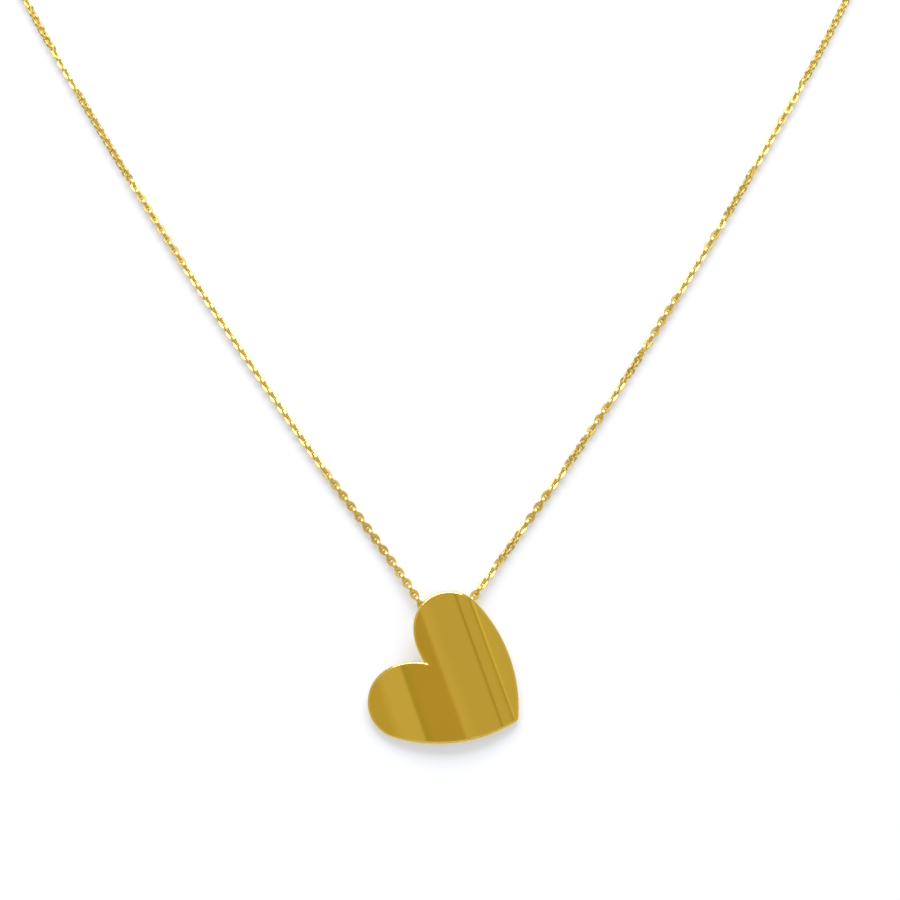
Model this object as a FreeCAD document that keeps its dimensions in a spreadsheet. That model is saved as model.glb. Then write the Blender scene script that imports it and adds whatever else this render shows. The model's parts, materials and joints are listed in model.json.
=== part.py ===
import FreeCAD, Part
import math
import os
from Sketcher import Constraint

# Pendant necklace laid out flat: a bent heart plate with a hidden bail, a fine cable
# chain of separate oval links, and an unfastened spring-ring clasp at the back.
# Millimetres. +Z is up, the heart is towards -Y and the clasp towards +Y.
# Until the last step every piece is laid out about the middle of the bail's bore in plan.

doc = FreeCAD.newDocument("pendant_necklace")
sheet = doc.addObject("Spreadsheet::Sheet", "sizes")
Vector = FreeCAD.Vector
up = Vector(0, 0, 1)

driving_sizes = (
    # cable chain
    ("link_wire", 0.30),
    ("link_width", 1.02),
    ("link_opening_length", 0.76),
    ("link_slack", 0.008),
    ("core_turn", 27.5),
    ("end_rise_run", 9.0),
    # heart plate
    ("lobe_radius", 3.90),
    ("lobe_offset", 4.51),
    ("lobe_height", 2.05),
    ("cleft_side_radius", 5.92),
    ("cleft_height", 2.47),
    ("side_radius", 15.45),
    ("tip_radius", 0.62),
    ("tip_depth", 8.38),
    ("heart_thickness", 0.90),
    ("heart_edge_radius", 0.28),
    ("heart_bend_radius", 28.0),
    ("heart_turn", 58.6),
    ("heart_ruling_turn", 20.0),
    ("heart_side_offset", 0.05),
    ("heart_drop", 6.25),
    # bail
    ("bail_bore_radius", 0.65),
    ("bail_headroom", 0.55),
    ("bail_wall", 0.30),
    ("bail_strap_width", 1.00),
    # spring-ring clasp
    ("clasp_ring_radius", 2.35),
    ("clasp_tube_radius", 0.62),
    ("clasp_tube_wall", 0.17),
    ("clasp_fit", 0.06),
    ("clasp_mouth_start", 24.0),
    ("clasp_mouth_angle", 52.0),
    ("bolt_entry", 4.0),
    ("bolt_travel", 58.0),
    ("bolt_tail", 49.0),
    ("trigger_back", 34.0),
    ("trigger_neck_radius", 0.16),
    ("trigger_pad_radius", 0.36),
    ("trigger_stand", 0.60),
    ("eye_radius", 0.62),
    ("eye_wire", 0.40),
    ("eye_solder", 0.12),
    ("spring_wire", 0.14),
    ("spring_turns", 13.0),
    ("spring_angle", 118.0),
    # jump rings and end ring
    ("jump_wire", 0.32),
    ("jump_width", 1.24),
    ("jump_length", 2.60),
    ("end_ring_radius", 1.45),
    ("end_ring_wire", 0.42),
)
for row, (alias, value) in enumerate(driving_sizes, start=1):
    sheet.set("A%d" % row, alias)
    sheet.set("B%d" % row, str(value))
    sheet.setAlias("B%d" % row, alias)
doc.recompute()


def size(alias):
    return float(sheet.get(alias))


def bind(item, **expressions):
    for name, expression in expressions.items():
        item.setExpression(name.replace("__", "."), expression)
    return item


def add(kind, name, **expressions):
    return bind(doc.addObject(kind, name), **expressions)


def frame_at(point, direction, roll=0.0):
    """Placement whose X runs along direction, with its Z upright before the roll about X."""
    upright = FreeCAD.Rotation(direction, Vector(), up, "XZY")
    return FreeCAD.Placement(point, upright.multiply(FreeCAD.Rotation(Vector(1, 0, 0), roll)))


# ---------------------------------------------------------------- oval links

def oval_link(name, wire, width, length):
    """A closed oval of round wire: two half rings joined by two straight legs."""
    bow = "(%s - %s) / 2" % (width, wire)
    reach = "(%s - %s) / 2" % (length, width)
    pieces = []
    for side, turn in (("outer", -90), ("inner", 90)):
        sign = "" if side == "outer" else "-"
        half = add("Part::Torus", "%s_%s_bow" % (name, side), Radius1=bow, Radius2=wire + " / 2")
        half.Angle3 = 180
        half.Placement.Rotation = FreeCAD.Rotation(up, turn)
        bind(half, Placement__Base__x=sign + reach)
        pieces.append(half)
        leg = add("Part::Cylinder", "%s_%s_leg" % (name, side), Radius=wire + " / 2", Height="2 * " + reach)
        leg.Placement.Rotation = FreeCAD.Rotation(Vector(0, 1, 0), 90)
        bind(leg, Placement__Base__x="-" + reach, Placement__Base__y=sign + bow)
        pieces.append(leg)
    link = doc.addObject("Part::MultiFuse", name)
    link.Shapes = pieces
    return link


chain_link = oval_link(
    "chain_link",
    "sizes.link_wire",
    "sizes.link_width",
    "(sizes.link_opening_length + 2 * sizes.link_wire)",
)
jump_link = oval_link("jump_link", "sizes.jump_wire", "sizes.jump_width", "sizes.jump_length")
doc.recompute()


def placed_copy(shape, placement):
    return shape.transformed(placement.toMatrix(), True)


# ---------------------------------------------------------------- chain route
# Links lie alternately flat and on edge. They turn on each other at the bows of the
# links that stand on edge, so the chain is a row of such pivots along its route.

edge_link_reach = size("link_opening_length") + size("link_wire") - size("link_slack")
flat_link_reach = size("link_opening_length") - size("link_wire") - size("link_slack")
pair_length = edge_link_reach + flat_link_reach
chain_height = size("link_width") / 2
core_height = size("bail_bore_radius") + size("bail_wall")
jump_height = size("jump_width") / 2

# Plan points of each strand from the core to the clasp, and how far the links are
# twisted about the strand at distances along it.
left_route = (
    (-5.72, 6.53), (-12.1, 15.37), (-18.34, 24.44), (-24.66, 33.82), (-30.9, 43.5), (-36.9, 53.3),
    (-42.8, 63.3), (-48.6, 73.7), (-53.8, 84.5), (-58.0, 96.5), (-60.2, 110.0), (-59.4, 124.0),
    (-54.6, 138.0), (-46.2, 150.5), (-35.0, 160.8), (-22.0, 168.0), (-9.7, 171.2),
)
right_route = (
    (5.99, 6.38), (12.14, 15.28), (18.2, 24.4), (24.14, 33.88), (29.96, 43.47), (35.6, 53.24),
    (41.2, 63.24), (46.6, 73.64), (51.5, 84.5), (56.1, 96.5), (58.6, 110.0), (58.2, 124.0),
    (53.8, 138.0), (45.6, 150.5), (34.4, 160.8), (21.0, 168.2), (6.0, 171.85),
)
left_twist = (
    (0, 0), (16, 0), (23, 13), (47, 13), (49, 0), (59, 0), (62, 45), (72, 45), (75, 15),
    (78, 15), (80.5, 45), (85, 45), (89, 0), (96, 0), (104, 45), (118, 45), (125, 0), (140, 0),
    (148, 40), (156, 0), (174, 0), (181, 45), (190, 45), (197, 0), (240, 0),
)
right_twist = (
    (0, 0), (3.5, 0), (5, 13), (6, 15), (8.5, 45), (10, 45), (13, 0), (16, 0), (17.5, 13),
    (19, 15), (21.5, 45), (23, 45), (26, 0), (28, 0), (29.5, 13), (30.5, 15), (33, 45),
    (35, 45), (38, 0), (43, 0), (45, 13), (49, 13), (50.5, 0), (53, 0), (56, 45), (60, 45),
    (63, 14), (66.5, 14), (67.5, 0), (71.5, 0), (75, 45), (101, 45), (107, 0), (122, 0),
    (129, 38), (137, 0), (160, 0), (168, 45), (178, 45), (185, 0), (240, 0),
)
# Distances along each strand at which it is left free to turn.
left_turns = (0, 55, 91, 128, 163, 198)
right_turns = (0, 27, 69, 113, 149, 190)


def twist_at(distance, table):
    for (start, first), (end, last) in zip(table, table[1:]):
        if start <= distance <= end:
            share = (distance - start) / (end - start)
            return first + (last - first) * (1 - math.cos(math.pi * share)) / 2
    return table[-1][1]


def height_at(distance, length):
    """Height of a strand, which lies low between the bail and its jump ring."""
    fall = (1 + math.cos(math.pi * min(distance / size("end_rise_run"), 1))) / 2
    rise = (1 + math.cos(math.pi * min((length - distance) / size("end_rise_run"), 1))) / 2
    return chain_height + (core_height - chain_height) * fall + (jump_height - chain_height) * rise


def core_pivots(side):
    """The two pivots of the end link of the core, on one side (-1 left, 1 right)."""
    turn = math.radians(size("core_turn"))
    inner = Vector(side * (flat_link_reach / 2 + edge_link_reach), 0, core_height)
    run = Vector(side * math.cos(turn), math.sin(turn), 0) * flat_link_reach
    return inner, inner + run


def strand_links(side, route, twists, turns):
    """Placements of a strand's links, as one list for each stretch between turning points."""
    start = core_pivots(side)[1]
    curve = Part.BSplineCurve()
    curve.interpolate([Vector(start.x, start.y, 0)] + [Vector(x, y, 0) for x, y in route])
    edge = curve.toShape()
    pairs = math.ceil(edge.Length / pair_length)
    shrink = edge.Length / (pairs * pair_length)
    reaches = (edge_link_reach * shrink, flat_link_reach * shrink)
    distances = [0.0]
    for index in range(2 * pairs):
        distances.append(distances[-1] + reaches[index % 2])
    pivots = []
    for distance in distances:
        reached = min(distance, edge.Length)
        point = edge.valueAt(edge.getParameterByLength(reached))
        pivots.append(Vector(point.x, point.y, height_at(reached, edge.Length)))
    stretches = []
    for index in range(2 * pairs):
        middle = (distances[index] + distances[index + 1]) / 2
        on_edge = index % 2 == 0
        if on_edge and len(stretches) < len(turns) and middle >= turns[len(stretches)]:
            stretches.append([])
        direction = pivots[index + 1] - pivots[index]
        roll = (90 if on_edge else 0) - side * twist_at(middle, twists)
        stretches[-1].append(frame_at((pivots[index] + pivots[index + 1]) / 2, direction, roll))
    return stretches, pivots


def keep_links(name, master, placements):
    group = doc.addObject("Part::Feature", name)
    group.Shape = Part.makeCompound([placed_copy(master.Shape, place) for place in placements])
    return group


subparts = []

# Five links stay in and beside the bail: one flat in the middle, then on each side one
# on edge and one flat that has begun to turn towards its strand.
core_places = [frame_at(Vector(0, 0, core_height), Vector(1, 0, 0))]
for side in (-1, 1):
    inner, outer = core_pivots(side)
    edge_centre = Vector(side * (flat_link_reach + edge_link_reach) / 2, 0, core_height)
    core_places.append(frame_at(edge_centre, Vector(side, 0, 0), 90))
    core_places.append(frame_at((inner + outer) / 2, outer - inner))
subparts.append(keep_links("chain_core", chain_link, core_places))

strand_ends = {}
turning_points = {"pendant_swing": Vector(0, 0, core_height)}
for strand, side, route, twists, turns in (
    ("left", -1, left_route, left_twist, left_turns),
    ("right", 1, right_route, right_twist, right_turns),
):
    stretches, pivots = strand_links(side, route, twists, turns)
    heading = pivots[-1] - pivots[-2]
    strand_ends[strand] = (pivots[-1], Vector(heading.x, heading.y, 0).normalize())
    for number, places in enumerate(stretches, start=1):
        subparts.append(keep_links("%s_turning_link_%d" % (strand, number), chain_link, places[:1]))
        subparts.append(keep_links("%s_chain_%d" % (strand, number), chain_link, places[1:]))
        first = places[0]
        hinge = first.Base - first.Rotation.multVec(Vector(edge_link_reach / 2, 0, 0))
        turning_points["%s_turn_%d" % (strand, number)] = hinge

# ---------------------------------------------------------------- heart plate
# The outline is cut through a sheet bent to a cylinder, whose rulings lean across it.

blank = doc.addObject("PartDesign::Body", "heart_blank")
outline = blank.newObject("Sketcher::SketchObject", "heart_outline")
plane = [item for item in blank.Origin.OriginFeatures if item.Role == "XY_Plane"][0]
outline.AttachmentSupport = (plane, "")
outline.MapMode = "FlatFace"


def arc(centre, radius, start, end):
    """Counter-clockwise arc of a circle between two points on it."""
    angles = [math.atan2(point[1] - centre[1], point[0] - centre[0]) for point in (start, end)]
    circle = Part.Circle(Vector(centre[0], centre[1], 0), up, radius)
    return Part.ArcOfCircle(circle, angles[0], angles[1])


def common_centre(first, first_reach, second, second_reach):
    """The point at both reaches, to the right of the way from first to second."""
    span = math.hypot(second[0] - first[0], second[1] - first[1])
    along = (first_reach**2 - second_reach**2 + span**2) / (2 * span)
    across = math.sqrt(first_reach**2 - along**2)
    unit = ((second[0] - first[0]) / span, (second[1] - first[1]) / span)
    return (
        first[0] + unit[0] * along + unit[1] * across,
        first[1] + unit[1] * along - unit[0] * across,
    )


def touch_point(inner, radius, outer, outer_radius):
    """Where a circle touches a wider one from inside."""
    return tuple(inner[k] + (inner[k] - outer[k]) * radius / (outer_radius - radius) for k in (0, 1))


def mirrored(point):
    return (-point[0], point[1])


lobe_radius = size("lobe_radius")
cleft_side_radius = size("cleft_side_radius")
side_radius = size("side_radius")
lobe = (size("lobe_offset"), size("lobe_height"))
tip = (0.0, -size("tip_depth"))
cleft = (0.0, size("cleft_height"))
side_centre = common_centre(lobe, side_radius - lobe_radius, tip, side_radius - size("tip_radius"))
cleft_centre = common_centre(cleft, cleft_side_radius, lobe, cleft_side_radius - lobe_radius)
lobe_end = touch_point(lobe, lobe_radius, side_centre, side_radius)
lobe_top = touch_point(lobe, lobe_radius, cleft_centre, cleft_side_radius)
tip_end = touch_point(tip, size("tip_radius"), side_centre, side_radius)
outline_arcs = (
    (lobe, lobe_radius, lobe_end, lobe_top),
    (cleft_centre, cleft_side_radius, lobe_top, cleft),
    (mirrored(cleft_centre), cleft_side_radius, cleft, mirrored(lobe_top)),
    (mirrored(lobe), lobe_radius, mirrored(lobe_top), mirrored(lobe_end)),
    (mirrored(side_centre), side_radius, mirrored(lobe_end), mirrored(tip_end)),
    (tip, size("tip_radius"), mirrored(tip_end), tip_end),
    (side_centre, side_radius, tip_end, lobe_end),
)
for centre, radius, start, end in outline_arcs:
    outline.addGeometry(arc(centre, radius, start, end))
right_lobe, right_inner, left_inner, left_lobe, left_side, tip_arc, right_side = range(7)

for first, second in (
    (right_lobe, right_inner),
    (left_inner, left_lobe),
    (left_lobe, left_side),
    (left_side, tip_arc),
    (tip_arc, right_side),
    (right_side, right_lobe),
):
    outline.addConstraint(Constraint("Tangent", first, 2, second, 1))
outline.addConstraint(Constraint("Coincident", right_inner, 2, left_inner, 1))
outline.addConstraint(Constraint("Equal", right_lobe, left_lobe))
outline.addConstraint(Constraint("Equal", right_inner, left_inner))
outline.addConstraint(Constraint("Equal", right_side, left_side))
outline.addConstraint(Constraint("Symmetric", right_lobe, 3, left_lobe, 3, -2))
outline.addConstraint(Constraint("PointOnObject", tip_arc, 3, -2))
outline.addConstraint(Constraint("PointOnObject", right_inner, 2, -2))
for name, made in (
    ("lobe_radius", Constraint("Radius", right_lobe, lobe_radius)),
    ("cleft_side_radius", Constraint("Radius", right_inner, cleft_side_radius)),
    ("side_radius", Constraint("Radius", right_side, side_radius)),
    ("tip_radius", Constraint("Radius", tip_arc, size("tip_radius"))),
    ("lobe_offset", Constraint("DistanceX", -1, 1, right_lobe, 3, size("lobe_offset"))),
    ("lobe_height", Constraint("DistanceY", -1, 1, right_lobe, 3, size("lobe_height"))),
    ("cleft_height", Constraint("DistanceY", -1, 1, right_inner, 2, size("cleft_height"))),
    ("tip_depth", Constraint("DistanceY", tip_arc, 3, -1, 1, size("tip_depth"))),
):
    index = outline.addConstraint(made)
    outline.renameConstraint(index, name)
    outline.setExpression("Constraints." + name, "sizes." + name)
outline_pad = blank.newObject("PartDesign::Pad", "heart_pad")
outline_pad.Profile = outline
outline_pad.Midplane = True
bind(outline_pad, Length="sizes.heart_bend_radius")

bend_length = "4 * (sizes.lobe_offset + sizes.lobe_radius)"
lean = size("heart_ruling_turn") - size("heart_turn")
bend_rotation = FreeCAD.Rotation(up, lean).multiply(FreeCAD.Rotation(Vector(1, 0, 0), 90))
bend_start = bend_rotation.multVec(Vector(0, 0, 2 * (size("lobe_offset") + size("lobe_radius"))))
sheet_sides = []
for name, radius in (
    ("bend_back", "sizes.heart_bend_radius"),
    ("bend_front", "sizes.heart_bend_radius + sizes.heart_thickness"),
):
    side = add("Part::Cylinder", name, Radius=radius, Height=bend_length)
    side.Placement.Rotation = bend_rotation
    side.Placement.Base = Vector(-bend_start.x, -bend_start.y, 0)
    bind(side, Placement__Base__z="-sizes.heart_bend_radius")
    sheet_sides.append(side)
bent_sheet = add("Part::Cut", "bent_sheet")
bent_sheet.Base = sheet_sides[1]
bent_sheet.Tool = sheet_sides[0]
sharp_heart = add("Part::MultiCommon", "sharp_heart")
front_half = add("Part::Box", "front_half", Length=bend_length, Width=bend_length)
bind(front_half, Height="sizes.heart_bend_radius")
corner = "-2 * (sizes.lobe_offset + sizes.lobe_radius)"
bind(front_half, Placement__Base__x=corner, Placement__Base__y=corner)
bind(front_half, Placement__Base__z="-sizes.heart_bend_radius / 4")
sharp_heart.Shapes = [blank, bent_sheet, front_half]
doc.recompute()


def is_bent_face(face):
    """True for the front and back faces of the bent plate, which carry its rim edges."""
    round_face = isinstance(face.Surface, Part.Cylinder)
    return round_face and abs(face.Surface.Axis.dot(up)) < math.cos(math.radians(45))


heart = add("Part::Fillet", "heart_plate")
heart.Base = sharp_heart
rim_edges = []
for number, edge in enumerate(sharp_heart.Shape.Edges, start=1):
    if any(is_bent_face(face) for face in sharp_heart.Shape.ancestorsOfType(edge, Part.Face)):
        rim_edges.append((number, size("heart_edge_radius"), size("heart_edge_radius")))
heart.Edges = rim_edges
doc.recompute()


def back_sag(x, y):
    """How far the plate's back lies below its highest ruling at a plan point."""
    ruling = math.radians(size("heart_ruling_turn"))
    across_ruling = (x - size("heart_side_offset")) * math.cos(ruling)
    across_ruling += (y + size("heart_drop")) * math.sin(ruling)
    return size("heart_bend_radius") - math.sqrt(size("heart_bend_radius") ** 2 - across_ruling**2)


def heart_place(tilt, roll):
    """The plate pivots on its bail until its rim meets the surface below it."""
    seat = Vector(0, 0, core_height + size("bail_bore_radius") + size("bail_headroom"))
    offset = Vector(size("heart_side_offset"), -size("heart_drop"), seat.z + back_sag(0, 0))
    flat = FreeCAD.Placement(offset, FreeCAD.Rotation(up, size("heart_turn")))
    lean = FreeCAD.Rotation(Vector(1, 0, 0), tilt).multiply(FreeCAD.Rotation(Vector(0, 1, 0), roll))
    about_seat = FreeCAD.Placement(seat - lean.multVec(seat), lean)
    return about_seat.multiply(flat)


points_per_edge = 25
rim_points = [point for edge in heart.Shape.Edges for point in edge.discretize(points_per_edge)]
tilt_limits = (-5.0, 25.0)
roll_limits = (-12.0, 12.0)
halvings = 30


def lowest(tilt, roll, side):
    place = heart_place(tilt, roll)
    points = [place.multVec(point) for point in rim_points]
    return min(point.z for point in points if side * point.x > 0)


def bisect(function, limits):
    """Where a falling function crosses zero."""
    low, high = limits
    for _ in range(halvings):
        middle = (low + high) / 2
        low, high = (middle, high) if function(middle) > 0 else (low, middle)
    return (low + high) / 2


def rest_tilt(roll):
    return bisect(lambda tilt: min(lowest(tilt, roll, -1), lowest(tilt, roll, 1)), tilt_limits)


def left_less_right(roll):
    tilt = rest_tilt(roll)
    return lowest(tilt, roll, 1) - lowest(tilt, roll, -1)


plate_roll = bisect(left_less_right, roll_limits)
on_bail = heart_place(rest_tilt(plate_roll), plate_roll)
heart.Placement = on_bail
subparts.append(heart)

# ---------------------------------------------------------------- bail
# A strap bent round the chain, its two legs soldered to the plate's back.

along_x = FreeCAD.Rotation(Vector(0, 1, 0), 90)
strap_parts = {}
for name, radius in (
    ("bail_outside", "sizes.bail_bore_radius + sizes.bail_wall"),
    ("bail_bore", "sizes.bail_bore_radius"),
):
    round_part = add("Part::Cylinder", name + "_round", Radius=radius, Height="sizes.bail_strap_width")
    round_part.Placement.Rotation = along_x
    bind(round_part, Placement__Base__x="-sizes.bail_strap_width / 2")
    legs = add("Part::Box", name + "_legs", Length="sizes.bail_strap_width", Width="2 * (%s)" % radius)
    bind(legs, Height="2 * sizes.bail_bore_radius + sizes.bail_headroom")
    bind(legs, Placement__Base__x="-sizes.bail_strap_width / 2", Placement__Base__y="-(%s)" % radius)
    joined = add("Part::MultiFuse", name)
    joined.Shapes = [round_part, legs]
    strap_parts[name] = joined
open_strap = add("Part::Cut", "open_strap")
open_strap.Base = strap_parts["bail_outside"]
open_strap.Tool = strap_parts["bail_bore"]
open_strap.Placement.Base = Vector(0, 0, core_height)
under_plate = add("Part::Cylinder", "under_plate", Radius="sizes.heart_bend_radius", Height=bend_length)
under_plate.Placement = on_bail.multiply(sheet_sides[0].Placement)
bail = add("Part::MultiCommon", "pendant_bail")
bail.Shapes = [open_strap, under_plate]
subparts.append(bail)

# ---------------------------------------------------------------- spring-ring clasp
# Modelled about its own centre, with its eye towards -X, then laid at the strand's end.

bore = "(sizes.clasp_tube_radius - sizes.clasp_tube_wall)"
mouth_end = size("clasp_mouth_start") + size("clasp_mouth_angle")
bolt_tip = mouth_end + size("bolt_entry")
bolt_end = size("clasp_mouth_start") - size("bolt_tail")
trigger_angle = size("clasp_mouth_start") - size("trigger_back")
spring_seat = bolt_end - size("spring_angle")
neck_reach = size("trigger_neck_radius") + size("clasp_fit")
neck_margin = math.degrees(neck_reach / size("clasp_ring_radius"))


def ring_arc(name, radius, start, end):
    piece = add("Part::Torus", name, Radius1="sizes.clasp_ring_radius", Radius2=radius)
    piece.Angle3 = end - start
    piece.Placement.Rotation = FreeCAD.Rotation(up, start)
    return piece


case_tube = ring_arc("case_tube", "sizes.clasp_tube_radius", mouth_end, size("clasp_mouth_start") + 360)
bolt_way = ring_arc("bolt_way", bore, spring_seat, size("clasp_mouth_start"))
bolt_socket = ring_arc("bolt_socket", bore, mouth_end, mouth_end + 2 * size("bolt_entry"))
slot_pieces = []
for name, radius in (
    ("slot_outside", "sizes.clasp_ring_radius + 2 * sizes.clasp_tube_radius"),
    ("slot_inside", "sizes.clasp_ring_radius"),
):
    piece = add("Part::Cylinder", name, Radius=radius, Angle="sizes.bolt_travel + 2 * %f" % neck_margin)
    bind(piece, Height="2 * (sizes.trigger_neck_radius + sizes.clasp_fit)")
    piece.Placement.Rotation = FreeCAD.Rotation(up, trigger_angle - size("bolt_travel") - neck_margin)
    bind(piece, Placement__Base__z="-(sizes.trigger_neck_radius + sizes.clasp_fit)")
    slot_pieces.append(piece)
trigger_slot = add("Part::Cut", "trigger_slot")
trigger_slot.Base, trigger_slot.Tool = slot_pieces
eye = add("Part::Torus", "clasp_eye", Radius1="sizes.eye_radius", Radius2="sizes.eye_wire / 2")
eye_centre = "sizes.clasp_ring_radius + sizes.clasp_tube_radius + sizes.eye_radius"
eye_centre += " + sizes.eye_wire / 2 - sizes.eye_solder"
bind(eye, Placement__Base__x="-(%s)" % eye_centre)
case_solid = add("Part::MultiFuse", "case_solid")
case_solid.Shapes = [case_tube, eye]
case_hollow = add("Part::MultiFuse", "case_hollow")
case_hollow.Shapes = [bolt_way, bolt_socket, trigger_slot]
clasp_case = add("Part::Cut", "clasp_case")
clasp_case.Base = case_solid
clasp_case.Tool = case_hollow

bolt_rod = ring_arc("bolt_rod", bore[:-1] + " - sizes.clasp_fit)", bolt_end, bolt_tip)
neck = add("Part::Cylinder", "trigger_neck", Radius="sizes.trigger_neck_radius")
bind(neck, Height="sizes.clasp_tube_radius + sizes.trigger_stand")
pad = add("Part::Sphere", "trigger_pad", Radius="sizes.trigger_pad_radius")
outward = FreeCAD.Rotation(up, trigger_angle).multVec(Vector(1, 0, 0))
neck.Placement = FreeCAD.Placement(outward * size("clasp_ring_radius"), FreeCAD.Rotation(up, outward))
pad_centre = outward * (size("clasp_ring_radius") + size("clasp_tube_radius") + size("trigger_stand"))
pad.Placement.Base = pad_centre
clasp_bolt = add("Part::MultiFuse", "clasp_bolt")
clasp_bolt.Shapes = [bolt_rod, neck, pad]

# The spring coils inside the case's bore, from its seat to the bolt's end.
coil_radius = size("clasp_tube_radius") - size("clasp_tube_wall") - size("clasp_fit") / 2
coil_radius -= size("spring_wire") / 2
end_room = (size("spring_wire") + size("clasp_fit")) / 2
end_angle = math.degrees(end_room / size("clasp_ring_radius"))
coil_start = spring_seat + end_angle
coil_angle = size("spring_angle") - 2 * end_angle
points_per_turn = 12
point_count = int(size("spring_turns") * points_per_turn)
spring_points = []
for number in range(point_count + 1):
    turn = 2 * math.pi * number / points_per_turn
    angle = math.radians(coil_start + coil_angle * number / point_count)
    reach = size("clasp_ring_radius") + coil_radius * math.cos(turn)
    height = coil_radius * math.sin(turn)
    spring_points.append(Vector(reach * math.cos(angle), reach * math.sin(angle), height))
coil = Part.BSplineCurve()
coil.interpolate(spring_points)
knots = coil.getKnots()
turn_starts = knots[:-1:points_per_turn] + [knots[-1]]
coil_turns = [coil.toShape(start, end) for start, end in zip(turn_starts, turn_starts[1:])]
start_direction = coil.tangent(coil.FirstParameter)[0]
section = Part.Wire([Part.makeCircle(size("spring_wire") / 2, spring_points[0], start_direction)])
clasp_spring = doc.addObject("Part::Feature", "clasp_spring")
clasp_spring.Shape = Part.Wire(coil_turns).makePipeShell([section], True, True)
doc.recompute()


def jump_ring(name, strand):
    """An upright oval ring on the strand's last link; returns the pivot at its far bow."""
    end, direction = strand_ends[strand]
    near = end - direction * (size("jump_wire") - size("link_wire")) / 2
    near.z = jump_height
    far = near + direction * (size("jump_length") - size("jump_wire"))
    ring = doc.addObject("Part::Feature", name)
    ring.Shape = placed_copy(jump_link.Shape, frame_at((near + far) / 2, direction, 90))
    subparts.append(ring)
    turning_points[name + "_turn"] = near
    return far, direction


far, direction = jump_ring("clasp_jump_ring", "left")
eye_play = size("eye_radius") - size("eye_wire") / 2 - size("jump_wire") / 2 - size("link_slack")
eye_reach = size("clasp_ring_radius") + size("clasp_tube_radius") + size("eye_radius")
eye_reach += size("eye_wire") / 2 - size("eye_solder")
clasp_place = frame_at(far + direction * (eye_play + eye_reach), direction)
turning_points["clasp_turn"] = far
turning_points["bolt_slide_round"] = clasp_place.Base
for piece in (clasp_case, clasp_bolt, clasp_spring):
    piece.Placement = clasp_place
    subparts.append(piece)

far, direction = jump_ring("end_jump_ring", "right")
turning_points["end_ring_turn"] = far
end_ring = add("Part::Torus", "end_ring", Radius1="sizes.end_ring_radius")
bind(end_ring, Radius2="sizes.end_ring_wire / 2")
end_play = size("end_ring_radius") - size("end_ring_wire") / 2 - size("jump_wire") / 2 - size("link_slack")
end_ring.Placement.Base = far + direction * end_play
subparts.append(end_ring)

# ---------------------------------------------------------------- frame and export
# The whole necklace moves so that its box is centred on the origin and stands on Z = 0.

doc.recompute()
whole = FreeCAD.BoundBox()
for item in subparts:
    whole.add(item.Shape.optimalBoundingBox(False, False))
to_frame = FreeCAD.Placement(Vector(-whole.Center.x, -whole.Center.y, 0), FreeCAD.Rotation())
for item in subparts:
    item.Placement = to_frame.multiply(item.Placement)
    item.Label = item.Name
doc.recompute()
for name, point in turning_points.items():
    print("TURN", name, *["%.4f" % value for value in to_frame.multVec(point)])

failed = [item.Name for item in doc.Objects if {"Invalid", "Error"} & set(item.State)]
failed += [item.Name for item in subparts if item.Shape.isNull() or not item.Shape.isValid()]
if failed:
    raise RuntimeError("these did not build: " + ", ".join(failed))
os.makedirs("parts", exist_ok=True)
for item in subparts:
    item.Shape.exportStep("parts/%s.step" % item.Label)
    print(item.Label, len(item.Shape.Solids), "solids", round(item.Shape.Volume, 4), "mm3")
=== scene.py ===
import json
import math

import bpy
import numpy as np
from mathutils import Matrix, Vector


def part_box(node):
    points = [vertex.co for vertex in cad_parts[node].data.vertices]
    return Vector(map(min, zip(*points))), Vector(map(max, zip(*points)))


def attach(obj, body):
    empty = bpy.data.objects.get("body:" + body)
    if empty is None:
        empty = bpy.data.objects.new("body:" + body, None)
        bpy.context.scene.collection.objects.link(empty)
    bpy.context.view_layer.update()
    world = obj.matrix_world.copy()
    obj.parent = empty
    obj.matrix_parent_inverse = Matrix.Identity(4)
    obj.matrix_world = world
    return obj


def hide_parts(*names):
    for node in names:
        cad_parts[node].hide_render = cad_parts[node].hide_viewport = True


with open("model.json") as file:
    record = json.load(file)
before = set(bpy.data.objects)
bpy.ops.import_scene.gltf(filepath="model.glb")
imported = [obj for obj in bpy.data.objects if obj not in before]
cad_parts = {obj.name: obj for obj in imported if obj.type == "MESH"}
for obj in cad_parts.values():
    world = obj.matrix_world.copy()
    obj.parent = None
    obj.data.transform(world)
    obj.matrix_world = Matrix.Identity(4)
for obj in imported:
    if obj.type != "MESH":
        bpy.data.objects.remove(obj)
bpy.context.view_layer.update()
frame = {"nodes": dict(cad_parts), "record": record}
nodes = frame["nodes"]
bodies = frame["record"]["behaviour"]["bodies"]
print("frame loaded:", len(nodes), "nodes")

# Sizes are in millimetres, angles in degrees, and colours are linear values from 0 to 1.
millimetre = 0.001

# The grain is how many patches of tone there are in a millimetre.
chainGold = {
    "colour": (0.86, 0.69, 0.27),
    "colourSpread": 0.04,
    "roughness": 0.23,
    "roughnessSpread": 0.05,
    "grain": 0.9,
    "bump": 0.01,
}
heartGold = {
    "colour": (0.86, 0.69, 0.27),
    "colourSpread": 0.02,
    "roughness": 0.06,
    "roughnessSpread": 0.02,
    "grain": 0.15,
    "bump": 0.002,
}
bailGold = dict(heartGold, roughness=0.2)
findingGold = dict(chainGold, roughness=0.14)
springSteel = {
    "colour": (0.60, 0.59, 0.57),
    "colourSpread": 0.06,
    "roughness": 0.28,
    "roughnessSpread": 0.08,
    "grain": 2.0,
    "bump": 0.02,
}
metalTexture = {
    "patchDetail": 3.0,
    "scratchesPerPatch": 4,
    "scratchDetail": 5.0,
    "scratchDepth": 0.05,
}


def newMaterial(name):
    material = bpy.data.materials.new(name)
    material.use_nodes = True
    return material, material.node_tree.nodes, material.node_tree.links


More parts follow.
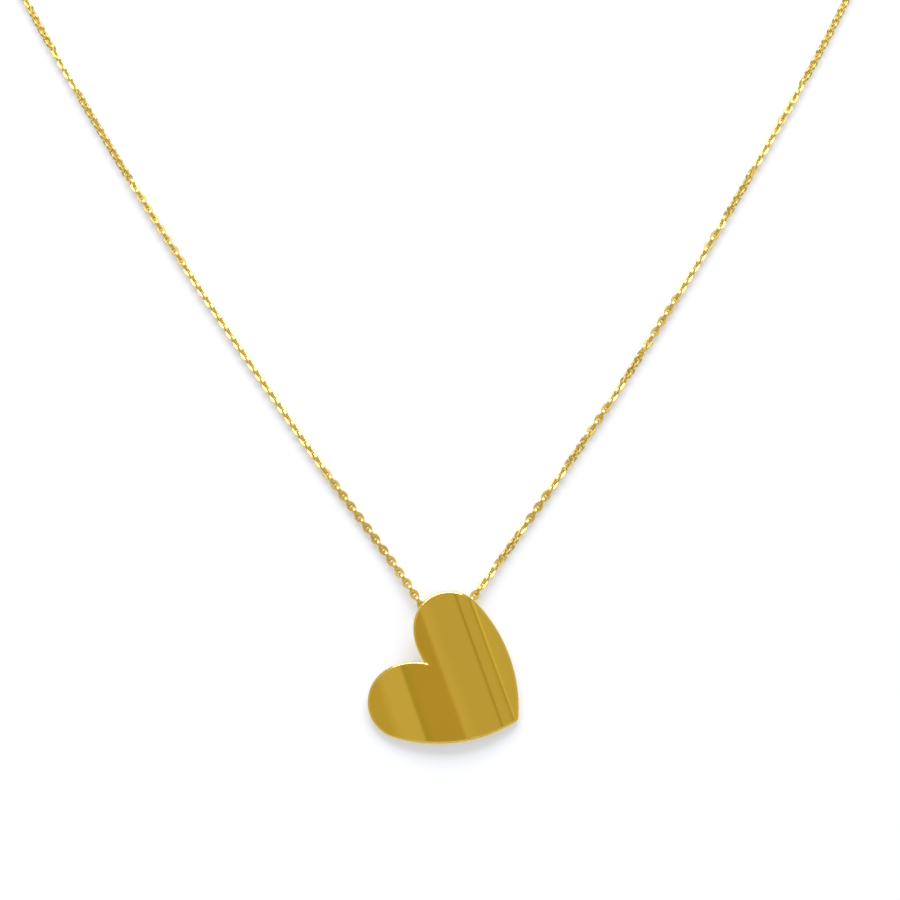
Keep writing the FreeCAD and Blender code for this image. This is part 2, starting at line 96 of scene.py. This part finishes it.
def makeMetal(name, values):
    material, parts, joins = newMaterial(name)
    shader = parts["Principled BSDF"]
    shader.inputs["Metallic"].default_value = 1.0
    place = parts.new("ShaderNodeTexCoord")
    patches = parts.new("ShaderNodeTexNoise")
    patches.inputs["Scale"].default_value = values["grain"] / millimetre
    patches.inputs["Detail"].default_value = metalTexture["patchDetail"]
    joins.new(place.outputs["Object"], patches.inputs["Vector"])
    tint = parts.new("ShaderNodeMix")
    tint.data_type = "RGBA"
    pale = [min(1.0, c * (1 + values["colourSpread"])) for c in values["colour"]]
    deep = [c * (1 - values["colourSpread"]) for c in values["colour"]]
    tint.inputs["A"].default_value = (*deep, 1.0)
    tint.inputs["B"].default_value = (*pale, 1.0)
    joins.new(patches.outputs["Fac"], tint.inputs["Factor"])
    joins.new(tint.outputs["Result"], shader.inputs["Base Color"])
    polish = parts.new("ShaderNodeMapRange")
    polish.inputs["To Min"].default_value = values["roughness"] - values["roughnessSpread"]
    polish.inputs["To Max"].default_value = values["roughness"] + values["roughnessSpread"]
    joins.new(patches.outputs["Fac"], polish.inputs["Value"])
    joins.new(polish.outputs["Result"], shader.inputs["Roughness"])
    scratches = parts.new("ShaderNodeTexNoise")
    scratchGrain = metalTexture["scratchesPerPatch"] * values["grain"]
    scratches.inputs["Scale"].default_value = scratchGrain / millimetre
    scratches.inputs["Detail"].default_value = metalTexture["scratchDetail"]
    joins.new(place.outputs["Object"], scratches.inputs["Vector"])
    relief = parts.new("ShaderNodeBump")
    relief.inputs["Strength"].default_value = values["bump"]
    relief.inputs["Distance"].default_value = metalTexture["scratchDepth"] * millimetre
    joins.new(scratches.outputs["Fac"], relief.inputs["Height"])
    joins.new(relief.outputs["Normal"], shader.inputs["Normal"])
    return material


finishes = {
    "chain_gold": makeMetal("chainGold", chainGold),
    "heart_gold": makeMetal("heartGold", heartGold),
    "bail_gold": makeMetal("bailGold", bailGold),
    "finding_gold": makeMetal("findingGold", findingGold),
    "spring_steel": makeMetal("springSteel", springSteel),
}
print("materials made")

# The shares say how much of the wire's width and height is flat. The rest is its broken edges.
linkValues = {
    "width": 0.96,
    "length": 1.34,
    "holeWidth": 0.32,
    "holeLength": 0.74,
    "thickness": 0.30,
    "steps": 12,
    "faceShare": 0.78,
    "sideShare": 0.76,
    "creaseAngle": 40.0,
    "play": 1.5,
    "seed": 5,
}


# A link is an oval ring with a straight-sided hole and flat faces, lying along X.
def makeLink(values):
    halfLength, halfWidth = values["length"] / 2, values["width"] / 2
    bend = values["holeWidth"] / 2
    straight = values["holeLength"] / 2 - bend
    face, side = values["faceShare"], values["sideShare"]
    upper = ((1, side), (face, 1), (-face, 1), (-1, side))
    section = upper + tuple((-outward, -upward) for outward, upward in upper)
    points = []
    for step in range(values["steps"]):
        turn = 2 * math.pi * (step + 0.5) / values["steps"]
        outer = Vector((halfLength * math.cos(turn), halfWidth * math.sin(turn), 0))
        inner = Vector((bend * math.cos(turn), bend * math.sin(turn), 0))
        inner.x += max(-straight, min(straight, outer.x - inner.x))
        for outward, upward in section:
            place = (outer + inner) / 2 + (outer - inner) / 2 * outward
            place.z = values["thickness"] / 2 * upward
            points.append(place * millimetre)
    faces = []
    for step in range(values["steps"]):
        here = step * len(section)
        beyond = (step + 1) % values["steps"] * len(section)
        for corner in range(len(section)):
            beside = (corner + 1) % len(section)
            faces.append((here + corner, beyond + corner, beyond + beside, here + beside))
    mesh = bpy.data.meshes.new("link")
    mesh.from_pydata(points, [], faces)
    mesh.shade_smooth()
    mesh.set_sharp_from_angle(angle=math.radians(values["creaseAngle"]))
    mesh.update()
    link = bpy.data.objects.new("link", mesh)
    bpy.context.scene.collection.objects.link(link)
    return link


# The middle of each separate link in a node, and how it is turned.
def linkPlaces(node):
    mesh = node.data
    corners = np.empty(len(mesh.vertices) * 3)
    mesh.vertices.foreach_get("co", corners)
    corners = corners.reshape(-1, 3)
    mesh.calc_loop_triangles()
    triangles = np.empty(len(mesh.loop_triangles) * 3, int)
    mesh.loop_triangles.foreach_get("vertices", triangles)
    triangles = triangles.reshape(-1, 3)
    # Corners at one place count as one, so that a link isn't split along its seams.
    sameDecimals = 7
    rounded = np.round(corners, sameDecimals)
    joined = np.unique(rounded, axis=0, return_inverse=True)[1].reshape(-1)
    joined = joined[triangles]
    # Each corner takes the lowest label that it meets, until every link has one label.
    label = np.arange(joined.max() + 1)
    while True:
        lower = label.copy()
        np.minimum.at(lower, joined, label[joined].min(axis=1)[:, None])
        lower = lower[lower]
        if np.array_equal(lower, label):
            break
        label = lower
    which = np.unique(label[joined[:, 0]], return_inverse=True)[1].reshape(-1)
    first, second, third = (corners[triangles[:, i]] for i in range(3))
    area = np.linalg.norm(np.cross(second - first, third - first), axis=1)
    middle = (first + second + third) / 3
    places = []
    for number in range(which.max() + 1):
        chosen = which == number
        weight = area[chosen][:, None]
        centre = (middle[chosen] * weight).sum(axis=0) / weight.sum()
        away = middle[chosen] - centre
        axes = np.linalg.eigh((away * weight).T @ away)[1]
        long, wide = Vector(axes[:, 2]), Vector(axes[:, 1])
        turn = Matrix((long, wide, long.cross(wide))).transposed().to_euler()
        places.append((Vector(centre), turn))
    return places


# Sets one link on each point, turned as the point says, with a little play about its length.
def makeLinkTree(values):
    tree = bpy.data.node_groups.new("linksOnPoints", "GeometryNodeTree")
    tree.interface.new_socket("Geometry", in_out="INPUT", socket_type="NodeSocketGeometry")
    tree.interface.new_socket("Link", in_out="INPUT", socket_type="NodeSocketObject")
    tree.interface.new_socket("Finish", in_out="INPUT", socket_type="NodeSocketMaterial")
    play = tree.interface.new_socket("Play", in_out="INPUT", socket_type="NodeSocketFloat")
    play.default_value = math.radians(values["play"])
    seed = tree.interface.new_socket("Seed", in_out="INPUT", socket_type="NodeSocketInt")
    seed.default_value = values["seed"]
    tree.interface.new_socket("Geometry", in_out="OUTPUT", socket_type="NodeSocketGeometry")
    parts, joins = tree.nodes, tree.links
    given = parts.new("NodeGroupInput")
    result = parts.new("NodeGroupOutput")
    source = parts.new("GeometryNodeObjectInfo")
    joins.new(given.outputs["Link"], source.inputs["Object"])
    turn = parts.new("GeometryNodeInputNamedAttribute")
    turn.data_type = "FLOAT_VECTOR"
    turn.inputs["Name"].default_value = "turn"
    asRotation = parts.new("FunctionNodeEulerToRotation")
    joins.new(turn.outputs["Attribute"], asRotation.inputs["Euler"])
    least = parts.new("ShaderNodeMath")
    least.operation = "MULTIPLY"
    least.inputs[1].default_value = -1.0
    joins.new(given.outputs["Play"], least.inputs[0])
    chance = parts.new("FunctionNodeRandomValue")
    chance.data_type = "FLOAT"
    joins.new(least.outputs[0], chance.inputs["Min"])
    joins.new(given.outputs["Play"], chance.inputs["Max"])
    joins.new(given.outputs["Seed"], chance.inputs["Seed"])
    about = parts.new("ShaderNodeCombineXYZ")
    joins.new([o for o in chance.outputs if o.enabled][0], about.inputs["X"])
    lean = parts.new("FunctionNodeEulerToRotation")
    joins.new(about.outputs["Vector"], lean.inputs["Euler"])
    both = parts.new("FunctionNodeRotateRotation")
    both.rotation_space = "LOCAL"
    joins.new(asRotation.outputs["Rotation"], both.inputs["Rotation"])
    joins.new(lean.outputs["Rotation"], both.inputs["Rotate By"])
    put = parts.new("GeometryNodeInstanceOnPoints")
    joins.new(given.outputs["Geometry"], put.inputs["Points"])
    joins.new(source.outputs["Geometry"], put.inputs["Instance"])
    joins.new(both.outputs["Rotation"], put.inputs["Rotation"])
    real = parts.new("GeometryNodeRealizeInstances")
    joins.new(put.outputs["Instances"], real.inputs["Geometry"])
    coat = parts.new("GeometryNodeSetMaterial")
    joins.new(real.outputs["Geometry"], coat.inputs["Geometry"])
    joins.new(given.outputs["Finish"], coat.inputs["Material"])
    joins.new(coat.outputs["Geometry"], result.inputs["Geometry"])
    return tree


def layLinks(name, places, link, tree, finish, values):
    mesh = bpy.data.meshes.new(name)
    mesh.from_pydata([centre for centre, turn in places], [], [])
    turns = mesh.attributes.new("turn", "FLOAT_VECTOR", "POINT")
    turns.data.foreach_set("vector", [angle for centre, turn in places for angle in turn])
    laid = bpy.data.objects.new(name, mesh)
    bpy.context.scene.collection.objects.link(laid)
    modifier = laid.modifiers.new("links", "NODES")
    modifier.node_group = tree
    sockets = {s.name: s.identifier for s in tree.interface.items_tree if s.in_out == "INPUT"}
    modifier[sockets["Link"]] = link
    modifier[sockets["Finish"]] = finish
    modifier[sockets["Play"]] = math.radians(values["play"])
    modifier[sockets["Seed"]] = values["seed"]
    evaluated = laid.evaluated_get(bpy.context.evaluated_depsgraph_get())
    whole = bpy.data.meshes.new_from_object(evaluated)
    laid.modifiers.clear()
    laid.data = whole
    return laid


link = makeLink(linkValues)
linkTree = makeLinkTree(linkValues)
linkCount = 0
for body, members in bodies.items():
    chainNodes = [n for n in members if "chain" in n or "turning_link" in n]
    if not chainNodes:
        continue
    places = [place for n in chainNodes for place in linkPlaces(nodes[n])]
    linkCount += len(places)
    links = layLinks(body + "_links", places, link, linkTree, finishes["chain_gold"], linkValues)
    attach(links, body)
    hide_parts(*chainNodes)
bpy.data.objects.remove(link)
print("links laid:", linkCount)

# These nodes are shown as they come, in their own finishes.
carried = {
    "heart_plate": "heart_gold",
    "pendant_bail": "bail_gold",
    "clasp_jump_ring": "finding_gold",
    "clasp_case": "finding_gold",
    "clasp_bolt": "finding_gold",
    "clasp_spring": "spring_steel",
    "end_jump_ring": "finding_gold",
    "end_ring": "finding_gold",
}
for name, finish in carried.items():
    for slot in nodes[name].material_slots:
        slot.material = finishes[finish]
print("findings finished")


def makePlane(name, middle, xAxis, yAxis, width, depth, material):
    x, y = Vector(xAxis) * width / 2, Vector(yAxis) * depth / 2
    middle = Vector(middle)
    corners = [middle - x - y, middle + x - y, middle + x + y, middle - x + y]
    mesh = bpy.data.meshes.new(name)
    mesh.from_pydata(corners, [], [(0, 1, 2, 3)])
    mesh.materials.append(material)
    made = bpy.data.objects.new(name, mesh)
    bpy.context.scene.collection.objects.link(made)
    return made


floorValues = {
    "size": 3000.0,
    "colour": (0.82, 0.82, 0.82),
    "roughness": 0.9,
    "glow": (0.96, 0.97, 1.0),
    "glowStrength": 0.26,
}
floorMaterial, parts, joins = newMaterial("paleFloor")
shader = parts["Principled BSDF"]
shader.inputs["Base Color"].default_value = (*floorValues["colour"], 1.0)
shader.inputs["Roughness"].default_value = floorValues["roughness"]
shader.inputs["Specular IOR Level"].default_value = 0.0
shader.inputs["Emission Color"].default_value = (*floorValues["glow"], 1.0)
shader.inputs["Emission Strength"].default_value = floorValues["glowStrength"]
floorSize = floorValues["size"] * millimetre
makePlane("floor", (0, 0, 0), (1, 0, 0), (0, 1, 0), floorSize, floorSize, floorMaterial)

coreLow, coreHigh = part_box("chain_core")
core = (coreLow + coreHigh) / 2
heartLow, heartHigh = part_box("heart_plate")
heart = (heartLow + heartHigh) / 2

# Each pair of colours goes from low in the sky to high in it, between the two rises.
skyValues = {
    "low": (0.74, 0.77, 0.86),
    "high": (0.54, 0.56, 0.62),
    "reflectedLow": (0.36, 0.33, 0.20),
    "reflectedHigh": (0.78, 0.70, 0.50),
    "riseFrom": 0.25,
    "riseTo": 0.60,
    "backdrop": (1.0, 1.0, 1.0),
}
world = bpy.data.worlds.new("studio")
bpy.context.scene.world = world
world.use_nodes = True
parts, joins = world.node_tree.nodes, world.node_tree.links
direction = parts.new("ShaderNodeTexCoord")
height = parts.new("ShaderNodeSeparateXYZ")
joins.new(direction.outputs["Generated"], height.inputs["Vector"])
rise = parts.new("ShaderNodeMapRange")
rise.inputs["From Min"].default_value = skyValues["riseFrom"]
rise.inputs["From Max"].default_value = skyValues["riseTo"]
joins.new(height.outputs["Z"], rise.inputs["Value"])


def makeSky(parts, joins, rise, low, high):
    sky = parts.new("ShaderNodeMix")
    sky.data_type = "RGBA"
    sky.inputs["A"].default_value = (*low, 1.0)
    sky.inputs["B"].default_value = (*high, 1.0)
    joins.new(rise.outputs["Result"], sky.inputs["Factor"])
    glow = parts.new("ShaderNodeBackground")
    joins.new(sky.outputs["Result"], glow.inputs["Color"])
    return glow.outputs["Background"]


def choose(parts, joins, which, otherwise, chosen):
    choice = parts.new("ShaderNodeMixShader")
    joins.new(which, choice.inputs[0])
    joins.new(otherwise, choice.inputs[1])
    joins.new(chosen, choice.inputs[2])
    return choice.outputs["Shader"]


# The camera sees a white backdrop, and the metal reflects a warmer sky.
path = parts.new("ShaderNodeLightPath")
backdrop = parts["Background"]
backdrop.inputs["Color"].default_value = (*skyValues["backdrop"], 1.0)
lighting = makeSky(parts, joins, rise, skyValues["low"], skyValues["high"])
reflected = makeSky(parts, joins, rise, skyValues["reflectedLow"], skyValues["reflectedHigh"])
lighting = choose(parts, joins, path.outputs["Is Glossy Ray"], lighting, reflected)
seen = backdrop.outputs["Background"]
lighting = choose(parts, joins, path.outputs["Is Camera Ray"], lighting, seen)
joins.new(lighting, parts["World Output"].inputs["Surface"])
print("sky made")

# The overhead card reflects in the heart as bands that run along its bend.
cardValues = {
    "height": 400.0,
    "depth": 420.0,
    "turn": 20.0,
    "right": 0.05,
    "forward": 6.25,
    "along": -30.0,
    "tint": (0.95, 0.76, 0.222),
    # Where each colour stands across the card, before its tint.
    "bands": (
        (-450.0, (0.56, 0.53, 0.42)),
        (-190.0, (0.58, 0.56, 0.46)),
        (-160.0, (0.66, 0.66, 0.66)),
        (-92.0, (0.66, 0.66, 0.66)),
        (-89.0, (0.45, 0.455, 0.23)),
        (-58.0, (0.53, 0.48, 0.33)),
        (27.0, (0.53, 0.48, 0.33)),
        (36.0, (0.66, 0.66, 0.64)),
        (75.0, (0.60, 0.60, 0.58)),
        (153.0, (0.60, 0.60, 0.58)),
        (155.0, (0.38, 0.36, 0.22)),
        (158.0, (0.38, 0.36, 0.22)),
        (161.0, (0.62, 0.62, 0.60)),
        (199.0, (0.60, 0.60, 0.58)),
        (201.0, (0.40, 0.38, 0.24)),
        (205.0, (0.40, 0.38, 0.24)),
        (208.0, (0.88, 0.88, 0.86)),
        (213.0, (0.88, 0.88, 0.86)),
        (216.0, (0.63, 0.64, 0.64)),
        (290.0, (0.62, 0.62, 0.60)),
        (450.0, (0.50, 0.48, 0.40)),
    ),
}
cardMaterial, parts, joins = newMaterial("overheadCard")
parts.remove(parts["Principled BSDF"])
glow = parts.new("ShaderNodeEmission")
ramp = parts.new("ShaderNodeValToRGB")
ways = parts.new("ShaderNodeUVMap")
split = parts.new("ShaderNodeSeparateXYZ")
joins.new(ways.outputs["UV"], split.inputs["Vector"])
joins.new(split.outputs["X"], ramp.inputs["Fac"])
joins.new(ramp.outputs["Color"], glow.inputs["Color"])
joins.new(glow.outputs["Emission"], parts["Material Output"].inputs["Surface"])
bands = cardValues["bands"]
cardStart, cardEnd = bands[0][0], bands[-1][0]
# A ramp starts with two stops, which the first and the last band take.
stops = ramp.color_ramp.elements
for number, (where, colour) in enumerate(bands):
    share = (where - cardStart) / (cardEnd - cardStart)
    if number == 0:
        stop = stops[0]
        stop.position = share
    elif number == len(bands) - 1:
        stop = stops[len(stops) - 1]
        stop.position = share
    else:
        stop = stops.new(share)
    stop.color = (*(c * t for c, t in zip(colour, cardValues["tint"])), 1.0)
cardTurn = math.radians(cardValues["turn"])
across = Vector((math.cos(cardTurn), math.sin(cardTurn), 0))
along = Vector((-math.sin(cardTurn), math.cos(cardTurn), 0))
middle = core + Vector((cardValues["right"], -cardValues["forward"], 0)) * millimetre
middle += (across * (cardStart + cardEnd) / 2 + along * cardValues["along"]) * millimetre
middle.z = cardValues["height"] * millimetre
cardWidth = (cardEnd - cardStart) * millimetre
cardDepth = cardValues["depth"] * millimetre
card = makePlane("overheadCard", middle, across, along, cardWidth, cardDepth, cardMaterial)
uv = card.data.uv_layers.new(name="bands")
for corner, place in enumerate(((0, 0), (1, 0), (1, 1), (0, 1))):
    uv.data[corner].uv = place
card.visible_camera = False
card.visible_shadow = False
card.visible_diffuse = False
print("overhead card made")

keyValues = {
    "power": 7.2,
    "width": 1100.0,
    "depth": 700.0,
    "height": 621.0,
    "back": 775.0,
}
keyLight = bpy.data.lights.new("key", "AREA")
keyLight.energy = keyValues["power"]
keyLight.shape = "RECTANGLE"
keyLight.size = keyValues["width"] * millimetre
keyLight.size_y = keyValues["depth"] * millimetre
key = bpy.data.objects.new("key", keyLight)
key.location = heart + Vector((0, keyValues["back"], keyValues["height"])) * millimetre
key.rotation_euler = (heart - key.location).to_track_quat("-Z", "Y").to_euler()
bpy.context.scene.collection.objects.link(key)

cameraValues = {
    "tilt": 18.0,
    "lens": 88.0,
    "sensor": 36.0,
    "nearest": 1.0,
    "back": 54.88,
    "right": 0.66,
    "height": 226.96,
}
camera = bpy.data.objects.new("camera", bpy.data.cameras.new("camera"))
camera.data.lens = cameraValues["lens"]
camera.data.sensor_width = cameraValues["sensor"]
camera.data.clip_start = cameraValues["nearest"] * millimetre
camera.rotation_euler = (math.radians(cameraValues["tilt"]), 0, 0)
camera.location = (
    core.x + cameraValues["right"] * millimetre,
    core.y - cameraValues["back"] * millimetre,
    cameraValues["height"] * millimetre,
)
bpy.context.scene.collection.objects.link(camera)
bpy.context.scene.camera = camera
bpy.context.scene.view_settings.view_transform = "Standard"
print("stage set")
